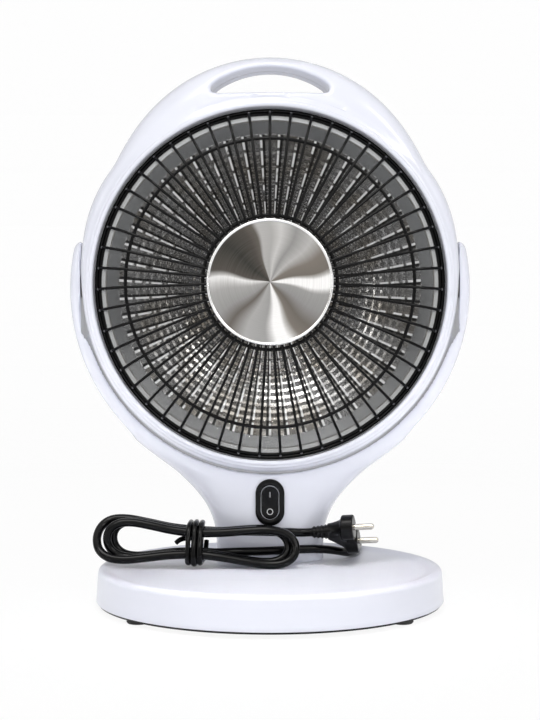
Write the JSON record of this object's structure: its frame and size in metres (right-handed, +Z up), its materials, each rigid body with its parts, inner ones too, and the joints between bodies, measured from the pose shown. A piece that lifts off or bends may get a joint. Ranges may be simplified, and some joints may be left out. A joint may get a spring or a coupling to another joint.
{
  "type": "parabolic heater",
  "caption": "Portable radiant heater: a round dished head with a wire guard and carrying handle tilts in a fork on a weighted round base; rocker switch, folded mains cord with plug.",
  "frame": {"origin": "on the floor, under the centre of the round base", "axes": "+Z up; +Y to the back, the guard faces -Y; +X to the right seen from the front"},
  "size_m": [0.2674, 0.2216, 0.3585],
  "materials": {
    "white_shell": "smooth glossy moulded white plastic",
    "black_plastic": "satin black moulded plastic",
    "black_gloss": "glossy black moulded plastic",
    "iron_weight": "rough cast",
    "black_rubber": "matt",
    "screw_steel": "zinc plated",
    "ceramic": "fired ceramic, unglazed",
    "wire_jackets": "soft wire jackets",
    "brass_parts": "bright",
    "pin_metal": "nickel plated, bright",
    "reflector_sheet": "polished to a mirror",
    "heating_wire": "oxidised resistance wire",
    "cutout_case": "phenolic",
    "guard_black": "glossy black enamel",
    "spun_steel": "spun brushed stainless steel",
    "natural_nylon": "natural nylon",
    "cord_jacket": "soft glossy black jacket"
  },
  "bodies": {
    "stand": {"base_cover": "white_shell", "base_plate": "black_plastic", "ballast_weight": "iron_weight", "rubber_feet": "black_rubber", "base_screws": "screw_steel", "tip_over_switch": "black_plastic", "terminal_block": "ceramic", "stand_wiring": "wire_jackets", "neck_front": "white_shell", "neck_back": "white_shell", "neck_screws": "screw_steel", "cord_relief": "black_rubber", "switch_frame": "black_gloss", "switch_terminals": "brass_parts", "pivot_bushes": "natural_nylon", "cord_lead": "cord_jacket", "cord_hank": "cord_jacket", "cord_tail": "cord_jacket", "cord_tie": "cord_jacket", "plug_body": "black_gloss", "plug_relief": "black_gloss", "plug_pins": "pin_metal"},
    "head": {"pivot_washers": "black_plastic", "pivot_pins": "screw_steel", "head_front": "white_shell", "head_back": "white_shell", "head_screws": "screw_steel", "rear_vent_cover": "white_shell", "reflector": "reflector_sheet", "reflector_clips": "screw_steel", "socket_bracket": "screw_steel", "element_socket": "ceramic", "element_core": "ceramic", "element_coil": "heating_wire", "thermal_cutout": "cutout_case", "guard_wires": "guard_black", "guard_outer_rings": "guard_black", "guard_mid_ring": "guard_black", "guard_inner_ring": "guard_black", "guard_hub_ring": "guard_black", "hub_disc": "spun_steel", "hub_clip": "guard_black", "hub_screw": "screw_steel"},
    "rocker": {"switch_rocker": "black_gloss"}
  },
  "joints": [
    {"name": "head_tilt", "type": "hinge", "parent": "stand", "child": "head", "pos_m": [0, 0.048, 0.2057], "axis": [1, 0, 0], "range_deg": [-30, 12]},
    {"name": "switch_rock", "type": "hinge", "parent": "stand", "child": "rocker", "pos_m": [0, 0.0245, 0.0616], "axis": [1, 0, 0], "range_deg": [-18, 0]}
  ]
}
